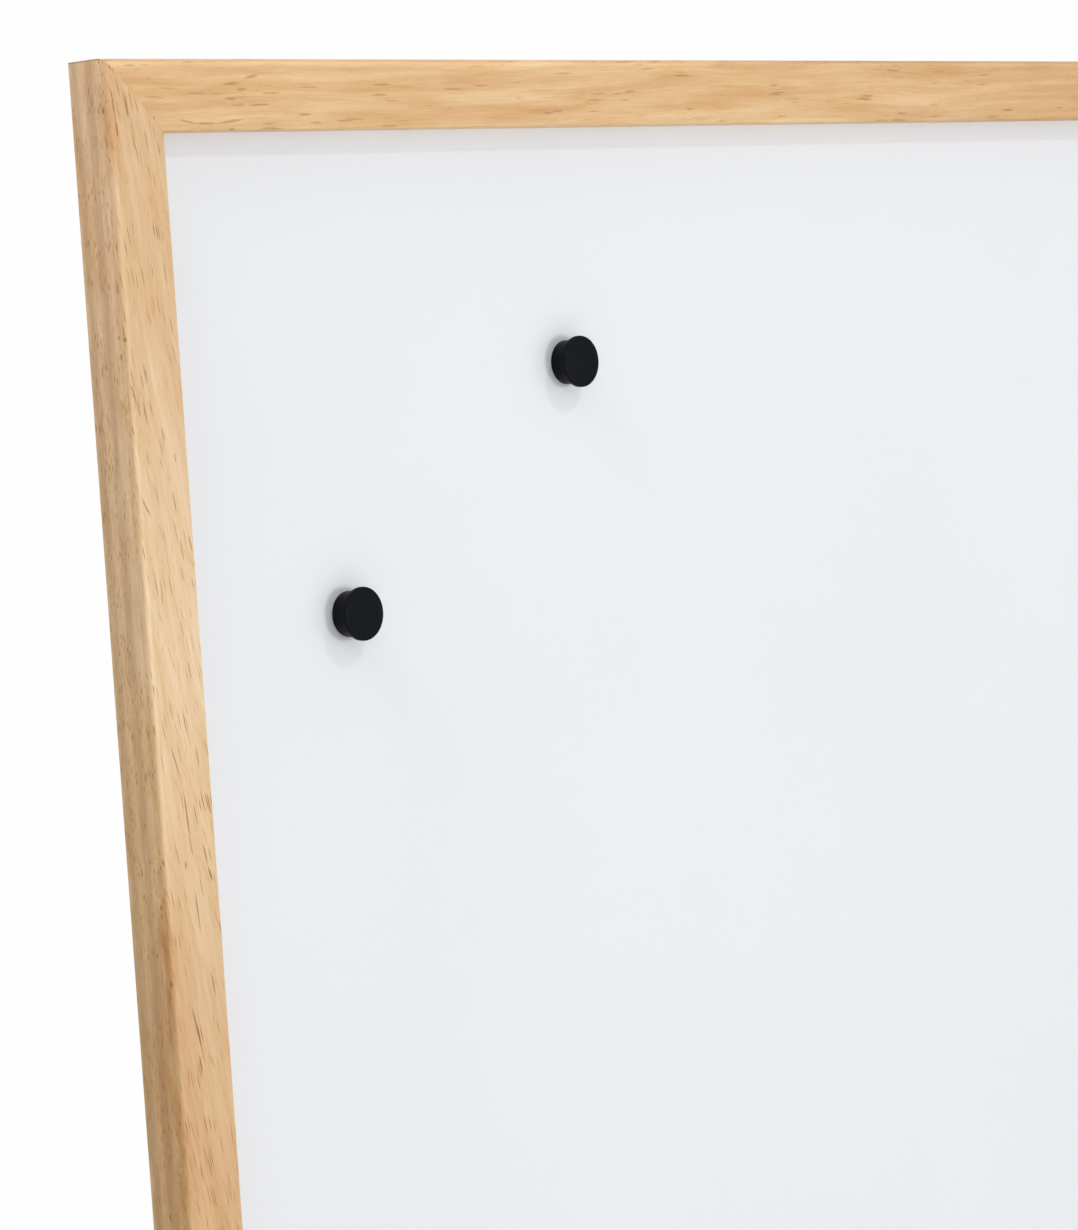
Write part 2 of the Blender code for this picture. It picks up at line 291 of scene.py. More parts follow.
def carve(obj, cutters):
    """Takes the cutters out of the object and removes them."""
    group = bpy.data.collections.new("cutters")
    bpy.context.scene.collection.children.link(group)
    for cutter in cutters:
        group.objects.link(cutter)
    boolean = obj.modifiers.new("carve", "BOOLEAN")
    boolean.operand_type = "COLLECTION"
    boolean.collection = group
    bpy.context.view_layer.update()
    evaluated = obj.evaluated_get(bpy.context.evaluated_depsgraph_get())
    carved = bpy.data.meshes.new_from_object(evaluated)
    obj.modifiers.clear()
    obj.data = carved
    shade(obj)
    for cutter in cutters:
        bpy.data.objects.remove(cutter)
    bpy.data.collections.remove(group)


def hand_in(piece, slot, *nodes):
    """Rides on the one body and stands for the nodes, whose imported parts it hides. slot is not used."""
    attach(piece, "root")
    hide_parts(*nodes)


# Materials

def displayed(red, green, blue):
    """A colour given as it shows on a screen, from 0 to 255, as linear light."""
    linear = []
    for value in (red, green, blue):
        share = value / 255
        linear.append(share / 12.92 if share <= 0.04045 else ((share + 0.055) / 1.055) ** 2.4)
    return (*linear, 1)


class Finish:
    """A material under construction. Each method adds a node and returns its output."""

    def __init__(self, name):
        self.material = bpy.data.materials.new(name)
        self.material.use_nodes = True
        self.tree = self.material.node_tree
        self.shader = self.tree.nodes["Principled BSDF"]

    def node(self, kind, inputs, **settings):
        made = self.tree.nodes.new("ShaderNode" + kind)
        for name, value in settings.items():
            setattr(made, name, value)
        for key, value in inputs.items():
            self.feed(made.inputs[key], value)
        return made

    def feed(self, socket, value):
        if isinstance(value, bpy.types.NodeSocket):
            self.tree.links.new(value, socket)
        else:
            socket.default_value = value

    def set(self, values):
        for name, value in values.items():
            self.feed(self.shader.inputs[name], value)

    def position(self):
        """The object's own coordinates in millimetres."""
        own = self.node("TexCoord", {}).outputs["Object"]
        return self.vector("SCALE", own, Scale=1 / MM)

    def maths(self, operation, first, second=0.0, clamp=False):
        return self.node("Math", {0: first, 1: second}, operation=operation, use_clamp=clamp).outputs[0]

    def vector(self, operation, first, second=None, **inputs):
        feeds = {0: first, **inputs}
        if second is not None:
            feeds[1] = second
        made = self.node("VectorMath", feeds, operation=operation)
        return made.outputs["Value" if operation in ("DOT_PRODUCT", "LENGTH") else "Vector"]

    def stretched(self, vector, lengths):
        """Coordinates in which one unit is so many millimetres along each axis."""
        return self.vector("MULTIPLY", vector, [1 / length for length in lengths])

    def noise(self, vector, detail=2.0, roughness=0.5, output="Fac"):
        inputs = {"Vector": vector, "Scale": 1.0, "Detail": detail, "Roughness": roughness}
        return self.node("TexNoise", inputs).outputs[output]

    def cells(self, vector):
        inputs = {"Vector": vector, "Scale": 1.0}
        return self.node("TexVoronoi", inputs).outputs

    def span(self, value, low, high, to_low=0.0, to_high=1.0):
        """Maps low..high smoothly onto to_low..to_high and holds the ends."""
        inputs = {"Value": value, "From Min": low, "From Max": high, "To Min": to_low, "To Max": to_high}
        return self.node("MapRange", inputs, interpolation_type="SMOOTHSTEP").outputs["Result"]

    def mix(self, factor, first, second, blend="MIX"):
        made = self.node("Mix", {}, data_type="RGBA", blend_type=blend)
        self.feed(made.inputs["Factor"], factor)
        self.feed(made.inputs[6], first)
        self.feed(made.inputs[7], second)
        return made.outputs[2]

    def ramp(self, value, stops):
        made = self.node("ValToRGB", {"Fac": value})
        elements = made.color_ramp.elements
        while len(elements) < len(stops):
            elements.new(1.0)
        for element, (place_on_ramp, colour) in zip(elements, stops):
            element.position = place_on_ramp
            element.color = colour
        return made.outputs["Color"]

    def grey(self, value):
        return self.node("CombineColor", {0: value, 1: value, 2: value}).outputs["Color"]

    def bump(self, height, distance, strength=1.0):
        inputs = {"Height": height, "Distance": distance, "Strength": strength}
        self.feed(self.shader.inputs["Normal"], self.node("Bump", inputs).outputs["Normal"])


# Wood: a slanted fibre direction in each member gives long pores on one face and short ones on the next.
# Lengths of the grain are in millimetres: along the fibre, then twice across it.

WOOD_TONES = [
    (0.30, displayed(238, 207, 166)),
    (0.45, displayed(232, 198, 154)),
    (0.58, displayed(227, 189, 143)),
    (0.74, displayed(219, 177, 128)),
]
PORE_BROWN = displayed(152, 98, 50)
CROWD_TINT = displayed(251, 246, 237)
DARK_TINT = displayed(240, 230, 216)
SIDE_DARK_TINT = displayed(232, 229, 226)
RIDGE_HIGHLIGHT_TINT = (1.10, 1.12, 1.13, 1)
# Painted highlight: how much paler the rounded outer arris is made, standing in for light catching it
STAIN_TINT = displayed(232, 196, 152)
WANDER = (85, 24, 24)
RIPPLE = (22, 5, 5)
TONE = (100, 6, 7)
HAIR = (9, 0.3, 0.3)
CROWD = (34, 5, 5)
FLECK_CELL = (5, 0.45, 0.45)
SIDE_STREAK = (16, 60, 0.7)
SIDE_CELL = (7, 2.5, 0.7)
RING_PERIOD = 5.9  # of the growth bands on the outer side, across it
RING_START = 2.5
SPINDLE_OVERRUN = 1.15  # a spindle's thin ends reach past the points that it joins
RAGGED = 0.5  # how far, in millimetres, the fibres shift the edge of a mark
END_LINE = 0.6  # of darker colour along the outer side at each end of the member
END_TINT = displayed(196, 184, 176)


def placed_marks(finish, position, side, marks, core, shown):
    """Single marks in known places, laid over what is shown: each a spindle between two points.
    core is the share of its width that is full."""
    into_member = side_frame(side).inverted()
    for start, end, width, strength in marks:
        first, last = into_member @ board_point(*start) / MM, into_member @ board_point(*end) / MM
        run = last - first
        inputs = {
            "Vector": position,
            "Location": (first + last) / 2,
            "Rotation": run.to_track_quat("X", "Z").to_euler(),
            "Scale": (run.length * SPINDLE_OVERRUN / 2, width / 2, width / 2),
        }
        spindle = finish.node("Mapping", inputs, vector_type="TEXTURE").outputs[0]
        shown = finish.span(finish.vector("LENGTH", spindle), core, 1.0, strength, shown)
    return shown


def fibre_space(finish, position, slant, dip, shift):
    """Coordinates along the fibre and twice across it, which wander as the grain does."""
    slant, dip = math.radians(slant), math.radians(dip)
    along = Vector((math.cos(slant) * math.cos(dip), math.sin(slant) * math.cos(dip), math.sin(dip)))
    across = Vector((-math.sin(slant), math.cos(slant), 0))
    moved = finish.vector("ADD", position, Vector(shift))
    parts = [finish.vector("DOT_PRODUCT", moved, axis) for axis in (along, across, along.cross(across))]
    fibre = finish.node("CombineXYZ", {0: parts[0], 1: parts[1], 2: parts[2]}).outputs[0]
    for lengths, reach in ((WANDER, 6.0), (RIPPLE, 1.0)):
        bend = finish.noise(finish.stretched(fibre, lengths), 1.0, output="Color")
        bend = finish.vector("SUBTRACT", bend, (0.5, 0.5, 0.5))
        fibre = finish.vector("ADD", fibre, finish.vector("MULTIPLY", bend, (0, reach, reach)))
    return fibre


def pore_cells(finish, vector, reach, softness, faint=0.2, strong=0.85):
    """Slim pores, one in each cell of the space, each with a strength of its own."""
    cell = finish.cells(vector)
    inside = finish.span(finish.maths("SUBTRACT", reach, cell["Distance"]), 0.0, softness)
    own = finish.node("SeparateColor", {"Color": cell["Color"]}).outputs[0]
    return finish.maths("MULTIPLY", inside, finish.span(own, 0.0, 1.0, faint, strong))


def darkened(finish, colour, value, amount, full=DARK_TINT):
    """Towards the full dark tint as the value rises about its middle, and as much paler as it falls."""
    dark = [1 - (1 - channel) * amount for channel in full[:3]]
    pale = [1 + (1 - channel) * amount for channel in full[:3]]
    tint = finish.ramp(finish.span(value, 0.28, 0.72), [(0.0, (*pale, 1)), (1.0, (*dark, 1))])
    return finish.mix(1.0, colour, tint, "MULTIPLY")


def tints_along(finish, share, run):
    return finish.ramp(share, [(place_on_run, displayed(*tint)) for place_on_run, tint in run])


def wood(side, slant, dip, shift, run, side_run, figured, contrast, cell, strong, crowding, lean, pores,
         stains):
    """Clear-lacquered wood with the values that WOOD holds for each side."""
    finish = Finish(f"wood_{side}")
    position = finish.position()
    fibre = fibre_space(finish, position, slant, dip, shift)
    parts = finish.node("SeparateXYZ", {0: position}).outputs
    on_side = finish.span(parts[1], 0.5, 1.6, 1.0, 0.0)

    tone = finish.noise(finish.stretched(fibre, TONE), 2.0, 0.5)
    tone = finish.maths("ADD", finish.maths("MULTIPLY", finish.maths("SUBTRACT", tone, 0.5), contrast), 0.5)
    length = (BOARD_WIDTH if side in ("top", "bottom") else BOARD_HEIGHT) / MM
    share = finish.maths("ADD", finish.maths("DIVIDE", parts[0], length), 0.5)
    colour = finish.mix(1.0, finish.ramp(tone, WOOD_TONES), tints_along(finish, share, run), "MULTIPLY")
    figure = finish.noise(finish.stretched(fibre, figured), 2.0, 0.6)
    colour = darkened(finish, colour, figure, 0.4 * contrast)
    hair = finish.noise(finish.stretched(fibre, HAIR), 2.0, 0.6)
    colour = darkened(finish, colour, hair, 0.3)

    streak = finish.noise(finish.stretched(position, SIDE_STREAK), 3.0, 0.65)
    depth = finish.maths("SUBTRACT", parts[2], RING_START)
    turn = finish.maths("MULTIPLY", depth, 2 * math.pi / RING_PERIOD)
    turn = finish.maths("ADD", turn, finish.maths("MULTIPLY", finish.maths("SUBTRACT", figure, 0.5), 2.0))
    ring = finish.maths("MULTIPLY", finish.maths("COSINE", turn), 0.22)
    grained = darkened(finish, colour, streak, 0.45, SIDE_DARK_TINT)
    grained = darkened(finish, grained, finish.maths("ADD", ring, 0.5), 0.5, SIDE_DARK_TINT)
    grained = finish.mix(1.0, grained, tints_along(finish, share, side_run), "MULTIPLY")
    colour = finish.mix(on_side, colour, grained)
    at_end = finish.span(finish.maths("ABSOLUTE", parts[0]), length / 2 - END_LINE, length / 2, 0.0, 1.0)
    colour = finish.mix(finish.maths("MULTIPLY", at_end, on_side), colour, END_TINT, "MULTIPLY")
    # Painted highlight: the rounding along the outer edge at the front is made paler where light would
    # catch it.
    on_front = finish.span(parts[2], MOULDING_DEPTH / MM - 3.6, MOULDING_DEPTH / MM - 2.4)
    painted_ridge_highlight = finish.maths("MULTIPLY", finish.span(parts[1], 1.0, 2.6, 1.0, 0.0), on_front)
    colour = finish.mix(painted_ridge_highlight, colour, RIDGE_HIGHLIGHT_TINT, "MULTIPLY")

    crowd = finish.noise(finish.stretched(fibre, CROWD), 2.0, 0.5)
    crowd = finish.maths("ADD", crowd, finish.span(parts[1], 2.0, 18.0, crowding + lean, crowding - lean))
    colour = finish.mix(finish.span(crowd, 0.42, 0.62), colour, CROWD_TINT, "MULTIPLY")
    ragged = finish.maths("MULTIPLY", finish.maths("SUBTRACT", hair, 0.5), RAGGED)
    reach = finish.span(crowd, 0.34, 0.6, 0.02, 0.34)
    reach = finish.maths("ADD", reach, finish.maths("MULTIPLY", ragged, 0.4))
    pore = pore_cells(finish, finish.stretched(fibre, cell), reach, 0.16, 0.15, strong)
    fleck_reach = finish.span(crowd, 0.38, 0.6, 0.0, 0.24)
    fleck = pore_cells(finish, finish.stretched(fibre, FLECK_CELL), fleck_reach, 0.14)
    line_reach = finish.span(crowd, 0.35, 0.65, 0.1, 0.3)
    line = pore_cells(finish, finish.stretched(position, SIDE_CELL), line_reach, 0.2)
    pore = finish.maths("MAXIMUM", pore, finish.maths("MULTIPLY", fleck, 0.5))
    line = finish.maths("MULTIPLY", line, finish.maths("MULTIPLY", on_side, 0.6))
    pore = finish.maths("MAXIMUM", pore, line)
    height = finish.maths("SUBTRACT", finish.maths("MULTIPLY", hair, 0.12), pore)
    if pores:
        fray = finish.node("CombineXYZ", {1: ragged, 2: ragged}).outputs[0]
        frayed = finish.vector("ADD", position, fray)
        pore = placed_marks(finish, frayed, side, pores, 0.35, pore)
    if stains:
        soft = placed_marks(finish, position, side, stains, 0.0, 0.0)
        soft = finish.maths("MULTIPLY", soft, finish.span(figure, 0.3, 0.65, 0.45, 1.0))
        colour = finish.mix(soft, colour, STAIN_TINT, "MULTIPLY")
    colour = finish.mix(pore, colour, PORE_BROWN)

    finish.set({"Base Color": colour})
    finish.set({"Roughness": finish.span(hair, 0.2, 0.8, 0.44, 0.54)})
    finish.set({"Specular IOR Level": 0.3, "Coat Weight": 0.15, "Coat Roughness": 0.25})
    finish.bump(height, 0.04 * MM, 0.5)
    return finish.material


# Each: first point, last point, width and strength
STILE_PORES = [
    ((1.1, 4.4, 0), (2.7, 17.0, 0), 0.75, 0.88),
    ((2.7, 17.0, 0), (3.0, 21.9, 0), 0.75, 0.94),
    ((5.5, 7.2, 0), (7.8, 17.2, 0), 0.68, 0.62),
    ((3.0, 10.5, 0), (4.4, 18.5, 0), 0.6, 0.5),
    ((12.7, 18.6, 0), (13.7, 26.2, 0), 0.68, 0.56),
    ((9.1, 23.4, 0), (9.9, 28.6, 0), 0.6, 0.5),
    ((0.6, 85.8, 0), (2.9, 94.3, 0), 0.75, 0.75),
    ((5.1, 92.1, 0), (6.1, 99.9, 0), 0.68, 0.62),
    ((7.4, 91.9, 0), (8.4, 98.1, 0), 0.68, 0.62),
    ((17.1, 69.8, 0), (17.9, 76.7, 0), 0.6, 0.56),
    ((11.0, 100.1, 0), (12.1, 104.4, 0), 0.68, 0.62),
    ((1.8, 118.7, 0), (5.2, 125.1, 0), 0.75, 0.69),
    ((5.5, 185.6, 0), (9.4, 198.8, 0), 0.68, 0.62),
    ((9.4, 198.8, 0), (10.7, 214.5, 0), 0.75, 0.75),
    ((15.1, 188.0, 0), (16.0, 194.5, 0), 0.68, 0.56),
    ((15.2, 215.1, 0), (16.5, 221.7, 0), 0.68, 0.69),
    ((16.5, 221.7, 0), (17.9, 226.5, 0), 0.75, 0.94),
    ((8.3, 219.3, 0), (8.4, 221.6, 0), 0.75, 0.88),
    ((11.0, 227.0, 0), (12.1, 240.4, 0), 0.75, 0.69),
    ((13.1, 224.0, 0), (14.0, 230.6, 0), 0.6, 0.5),
    ((6.6, 258.3, 0), (9.9, 274.1, 0), 0.83, 0.94),
    ((8.2, 272.5, 0), (9.1, 279.0, 0), 0.83, 0.88),
    ((14.8, 250.4, 0), (15.9, 258.4, 0), 0.75, 0.75),
    ((0.1, 13.0, 2.0), (0.1, 15.2, 2.0), 0.9, 0.75),
    ((0.2, 21.2, 1.6), (0.2, 24.8, 1.6), 0.9, 0.62),
    ((0.1, 74.8, 2.2), (0.1, 76.2, 2.2), 1, 0.75),
    ((0.9, 75.2, 0.7), (0.9, 76.9, 0.7), 1.2, 0.88),
    ((0.1, 79.6, 1.9), (0.1, 82.0, 1.9), 0.9, 0.75),
    ((0.1, 230.2, 2.0), (0.1, 232.2, 2.0), 1.2, 0.75),
    ((0.6, 251.2, 0.8), (0.6, 253.4, 0.8), 1.2, 0.75),
]
STILE_STAINS = [
    ((0.2, 222, 1.6), (0.2, 264, 1.6), 9.0, 0.9),
    ((0, 215, 2), (0, 350, 3), 16.0, 0.5),
    ((2, -4, 1), (1.5, 34, 1), 9.0, 0.6),
]
RAIL_PORES = [
    ((51.0, 5.6, 0), (57.0, 4.6, 0), 1.3, 0.5),
    ((42.5, 7.2, 0), (50.0, 6.8, 0), 1.2, 0.5),
    ((47.9, 8.8, 0), (52.6, 8.5, 0), 1.0, 0.45),
    ((43.0, 11.1, 0), (48.0, 11.2, 0), 1.3, 0.5),
    ((25.0, 16.7, 0), (32.5, 18.1, 0), 0.8, 0.45),
    ((31.5, 18.0, 0), (40.0, 18.0, 0), 0.9, 0.5),
    ((39.0, 18.1, 0), (50.6, 16.9, 0), 1.0, 0.45),
    ((6.3, 2.0, 0), (12.0, 2.0, 0), 0.9, 0.4),
    ((17.1, 10.8, 0), (21.5, 10.9, 0), 0.7, 0.3),
    ((43.6, 19.8, 0), (46.8, 19.7, 0), 0.9, 0.65),
    ((16.1, 16.3, 0), (17.1, 16.3, 0), 0.8, 0.6),
]
RAIL_STAINS = [
    ((215, 10.0, 0), (560, 10.6, 0), 7.5, 0.4),
    ((75, 4.0, 0), (190, 4.6, 0), 5.0, 0.22),
    ((120, 15.8, 0), (205, 15.4, 0), 5.0, 0.25),
]

# slant and dip turn the fibre from the member's length, in degrees. shift picks a stretch of the timber.
# figured and cell are the lengths of the figure and of one pore's cell, in the grain's millimetres.
# run and side_run: tints at shares of the member's length, the second for its outer side alone.
# strong is the darkest pore. crowding adds pores everywhere, and lean more of them towards the outer edge.
WOOD = {
    "top": {"slant": 0.8, "dip": 0.5, "shift": (40, 3, 11), "figured": (80, 2.3, 2.6),
            "contrast": 1.0,
            "run": [(0.2, (237, 227, 213)), (0.37, (240, 232, 220)), (0.53, (245, 238, 227)),
                    (0.7, (247, 241, 231))],
            "side_run": [(0.0, (244, 241, 241)), (1.0, (248, 246, 246))],
            "cell": (15, 1.3, 1.3), "strong": 0.5, "crowding": 0.0, "lean": 0.0, "pores": RAIL_PORES,
            "stains": RAIL_STAINS},
    "left": {"slant": 9, "dip": 0.8, "shift": (470, 41, 23), "figured": (50, 1.6, 2.0),
             "contrast": 0.5,
             "run": [(0.1, (243, 241, 241)), (0.34, (255, 263, 275)), (0.47, (253, 258, 264)),
                     (0.57, (243, 241, 240)), (0.68, (239, 232, 226))],
             "side_run": [(0.1, (248, 248, 255)), (0.34, (234, 228, 222)), (0.47, (232, 226, 216)),
                          (0.57, (230, 225, 216)), (0.68, (236, 237, 230))],
             "cell": (12, 0.6, 0.6), "strong": 0.85, "crowding": 0.05, "lean": 0.03, "pores": STILE_PORES,
             "stains": STILE_STAINS},
    "bottom": {"slant": -1, "dip": 0.8, "shift": (900, 77, 37), "figured": (80, 2.3, 2.6),
               "contrast": 0.9,
               "run": [(0.0, (242, 238, 230)), (1.0, (246, 238, 226))],
               "side_run": [(0.0, (244, 241, 241)), (1.0, (248, 246, 246))],
               "cell": (13, 1.0, 1.0), "strong": 0.6, "crowding": 0.0, "lean": 0.0, "pores": [],
               "stains": []},
    "right": {"slant": 5, "dip": -0.7, "shift": (1400, 120, 53), "figured": (60, 1.6, 2.0),
              "contrast": 0.7,
              "run": [(0.0, (244, 241, 236)), (1.0, (250, 248, 244))],
              "side_run": [(0.0, (240, 236, 234)), (1.0, (248, 246, 246))],
              "cell": (9, 0.6, 0.6), "strong": 0.9, "crowding": 0.03, "lean": 0.02, "pores": [],
              "stains": []},
}


def enamel():
    finish = Finish("white_enamel")
    position = finish.position()
    cloud = finish.noise(finish.stretched(position, (160, 160, 160)), 2.0)
    colour = finish.ramp(cloud, [(0.3, (0.80, 0.815, 0.845, 1)), (0.7, (0.815, 0.83, 0.86, 1))])
    peel = finish.noise(finish.stretched(position, (1.6, 1.6, 1.6)), 1.0)
    finish.set({"Base Color": colour})
    finish.set({"Roughness": finish.span(cloud, 0.3, 0.7, 0.3, 0.36)})
    finish.set({"Specular IOR Level": 0.5, "Coat Weight": 0.3, "Coat Roughness": 0.12})
    finish.bump(peel, 0.01 * MM, 0.25)
    return finish.material


def hardboard():
    """Dark pressed fibre with the print of the drying screen on it."""
    finish = Finish("hardboard")
    position = finish.position()
    fibre = finish.noise(finish.stretched(position, (1.1, 1.1, 1.1)), 5.0, 0.7)
    colour = finish.ramp(fibre, [(0.3, displayed(92, 62, 40)), (0.55, displayed(122, 86, 58)),
                                 (0.75, displayed(146, 108, 76))])
    waves = []
    for direction in ("X", "Z"):
        inputs = {"Vector": position, "Scale": 0.31, "Distortion": 0.4, "Detail": 1.0}
        waves.append(finish.node("TexWave", inputs, bands_direction=direction).outputs["Fac"])
    screen = finish.maths("MULTIPLY", waves[0], waves[1])
    colour = finish.mix(0.5, colour, finish.grey(finish.span(screen, 0.0, 0.6, 0.75, 1.05)), "MULTIPLY")
    finish.set({"Base Color": colour})
    finish.set({"Roughness": 0.75, "Specular IOR Level": 0.3})
    finish.bump(finish.maths("ADD", screen, finish.maths("MULTIPLY", fibre, 0.5)), 0.18 * MM)
    return finish.material


def zinc():
    """Bright zinc plate with a faint yellow and blue cast and rolling marks."""
    finish = Finish("zinc_plated_steel")
    position = finish.position()
    cast = finish.noise(finish.stretched(position, (4, 4, 4)), 2.0)
    colour = finish.ramp(cast, [(0.3, (0.60, 0.63, 0.66, 1)), (0.55, (0.66, 0.66, 0.64, 1)),
                                (0.75, (0.68, 0.64, 0.55, 1))])
    scratch = finish.noise(finish.stretched(position, (5, 0.12, 0.12)), 2.0, 0.6)
    finish.set({"Base Color": colour})
    finish.set({"Roughness": finish.span(scratch, 0.3, 0.7, 0.25, 0.42)})
    finish.set({"Metallic": 1.0})
    finish.bump(scratch, 0.01 * MM, 0.5)
    return finish.material


def plastic():
    """Moulded black with a fine spark-eroded grain."""
    finish = Finish("black_plastic")
    position = finish.position()
    cloud = finish.noise(finish.stretched(position, (3, 3, 3)), 3.0)
    colour = finish.ramp(cloud, [(0.3, (0.0016, 0.0025, 0.0044, 1)), (0.7, (0.0028, 0.0040, 0.0066, 1))])
    grain = finish.noise(finish.stretched(position, (0.16, 0.16, 0.16)), 2.0, 0.6)
    finish.set({"Base Color": colour})
    finish.set({"Roughness": finish.span(grain, 0.3, 0.7, 0.36, 0.48)})
    finish.set({"Specular IOR Level": 0.08})
    finish.bump(grain, 0.02 * MM, 0.4)
    return finish.material


def ferrite():
    finish = Finish("ferrite")
    position = finish.position()
    grain = finish.noise(finish.stretched(position, (0.25, 0.25, 0.25)), 4.0, 0.7)
    colour = finish.ramp(grain, [(0.3, (0.035, 0.035, 0.038, 1)), (0.7, (0.085, 0.085, 0.09, 1))])
    finish.set({"Base Color": colour})
    finish.set({"Roughness": finish.span(grain, 0.3, 0.7, 0.5, 0.75)})
    finish.set({"Metallic": 0.2})
    finish.bump(grain, 0.04 * MM, 0.6)
    return finish.material


# Stage

def make_camera():
    data = bpy.data.cameras.new("camera")
    data.lens = CAMERA_LENS
    data.sensor_width = CAMERA_SENSOR
    data.sensor_fit = "AUTO"
    data.clip_start = 0.01
    camera = bpy.data.objects.new("camera", data)
    camera.matrix_world = local_frame(CAMERA_RIGHT, CAMERA_UP, CAMERA_PLACE)
    bpy.context.scene.collection.objects.link(camera)
    bpy.context.scene.camera = camera


def make_room():
    """A white room, a little brighter overhead and to the right, with three lamps and a pale floor."""
    world = bpy.data.worlds.new("white_room")
    bpy.context.scene.world = world
    world.use_nodes = True
    nodes, links = world.node_tree.nodes, world.node_tree.links
    direction = nodes.new("ShaderNodeTexCoord").outputs["Generated"]
    facing = nodes.new("ShaderNodeVectorMath")
    facing.operation = "DOT_PRODUCT"
    facing.inputs[1].default_value = ROOM_BRIGHT_SIDE
    links.new(direction, facing.inputs[0])
    level = nodes.new("ShaderNodeMapRange")
    level.inputs["From Min"].default_value = -1
    level.inputs["To Min"].default_value = ROOM_DIM
    level.inputs["To Max"].default_value = ROOM_BRIGHT
    links.new(facing.outputs["Value"], level.inputs["Value"])
    lit = nodes["Background"]
    links.new(level.outputs["Result"], lit.inputs["Strength"])
    lit.inputs["Color"].default_value = (1, 1, 1, 1)
    seen = nodes.new("ShaderNodeBackground")
    seen.inputs["Color"].default_value = displayed(254, 254, 254)
    path = nodes.new("ShaderNodeLightPath").outputs["Is Camera Ray"]
    choice = nodes.new("ShaderNodeMixShader")
    links.new(path, choice.inputs[0])
    links.new(lit.outputs[0], choice.inputs[1])
    links.new(seen.outputs[0], choice.inputs[2])
    links.new(choice.outputs[0], nodes["World Output"].inputs["Surface"])

    make_lamp("key", KEY_PLACE, KEY_WIDTH, KEY_POWER)
    make_lamp("front", FRONT_PLACE, FRONT_WIDTH, FRONT_POWER)
    make_lamp("side", SIDE_PLACE, SIDE_WIDTH, SIDE_POWER)
    make_floor()


def make_lamp(name, origin, width, power):
    data = bpy.data.lights.new(name, "AREA")
    data.shape = "DISK"
    data.size = width
    data.energy = power
    lamp = bpy.data.objects.new(name, data)
    aim = (board_point(*LIGHTS_AIM, 0) - origin).to_track_quat("-Z", "Y")
    lamp.matrix_world = Matrix.Translation(origin) @ aim.to_matrix().to_4x4()
    lamp.visible_camera = False
    bpy.context.scene.collection.objects.link(lamp)


def make_floor():
    finish = Finish("pale_floor")
    place_there = finish.node("TexCoord", {}).outputs["Object"]
    edge = finish.span(finish.vector("LENGTH", place_there), FLOOR_RADIUS * 0.55, FLOOR_RADIUS, 1.0, 0.0)
    finish.set({"Base Color": (0.85, 0.85, 0.85, 1), "Roughness": 0.9, "Alpha": edge})
    bm = bmesh.new()
    bmesh.ops.create_circle(bm, cap_ends=True, segments=96, radius=FLOOR_RADIUS)
    place("floor", bm, Matrix.Translation((CENTRE.x, 0, FLOOR_LEVEL)), finish.material)


# Panel

def panel_skin(low, high, swell):
    """A thin sheet whose two faces bow in step by up to swell, inside the box."""
    columns = round((high.x - low.x) / PANEL_CELL)
    rows = round((high.z - low.z) / PANEL_CELL)
    bm = bmesh.new()
    faces = []
    for level, side in ((low.y, 1), (high.y, -1)):
        grid = []
        for row in range(rows + 1):
            line = []
            for column in range(columns + 1):
                x = low.x + (high.x - low.x) * column / columns
                z = low.z + (high.z - low.z) * row / rows
                bow = swell * (0.5 + 0.5 * noise.noise(Vector((x, 0, z)) / SWELL_LENGTH))
                line.append(bm.verts.new((x, level + (bow if side > 0 else bow - swell), z)))
            grid.append(line)
        faces.append(grid)
        for row in range(rows):
            for column in range(columns):
                here, above = grid[row], grid[row + 1]
                bm.faces.new((here[column], here[column + 1], above[column + 1], above[column]))
    front, back = faces
    for edge_front, edge_back in (
        (front[0], back[0]),
        (front[-1], back[-1]),
        ([line[0] for line in front], [line[0] for line in back]),
        ([line[-1] for line in front], [line[-1] for line in back]),
    ):
        for index in range(len(edge_front) - 1):
            bm.faces.new((edge_front[index], edge_front[index + 1], edge_back[index + 1], edge_back[index]))
    return bm


def make_panel():
    """The enamelled sheet and the hardboard behind it."""
    for node, slot, material, swell in (
        ("writing_sheet", "white_enamel", enamel(), SHEET_SWELL),
        ("backer_board", "hardboard", hardboard(), BACKER_SWELL),
    ):
        low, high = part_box(node)
        piece = place(node + "_panel", panel_skin(low, high, swell), Matrix.Identity(4), material)
        hand_in(piece, slot, node)


# Frame members

def moulding_section(radius):
    """(v, w) outline of the moulding, from the outer back edge up over the face to the rebate."""
    ledge = WRITING_FACE + LEDGE_GAP
    sight = (MOULDING_WIDTH - SIGHT_RADIUS, MOULDING_DEPTH - SIGHT_RADIUS)
    section = arc((BACK_RADIUS, BACK_RADIUS), BACK_RADIUS, 270, 180, SIGHT_STEPS)
    section += arc((radius, MOULDING_DEPTH - radius), radius, 180, 90, ROUND_STEPS)
    section += arc(sight, SIGHT_RADIUS, 90, 0, SIGHT_STEPS)
    section += [(MOULDING_WIDTH, ledge), (BACK_WIDTH, ledge), (BACK_WIDTH, 0)]
    return section


def rounding(side, along, from_corner):
    """The outer arris's radius: it wanders a little and eases out towards each mitre."""
    near_mitre = math.exp(-((from_corner / CORNER_REACH) ** 2))
    seed = list(SIDES).index(side)
    waver = noise.noise(Vector((along / WAVER_LENGTH, seed * 7.3, 0)))
    return OUTER_RADIUS + CORNER_EASING * near_mitre + HAND_WAVER * waver * (1 - near_mitre)


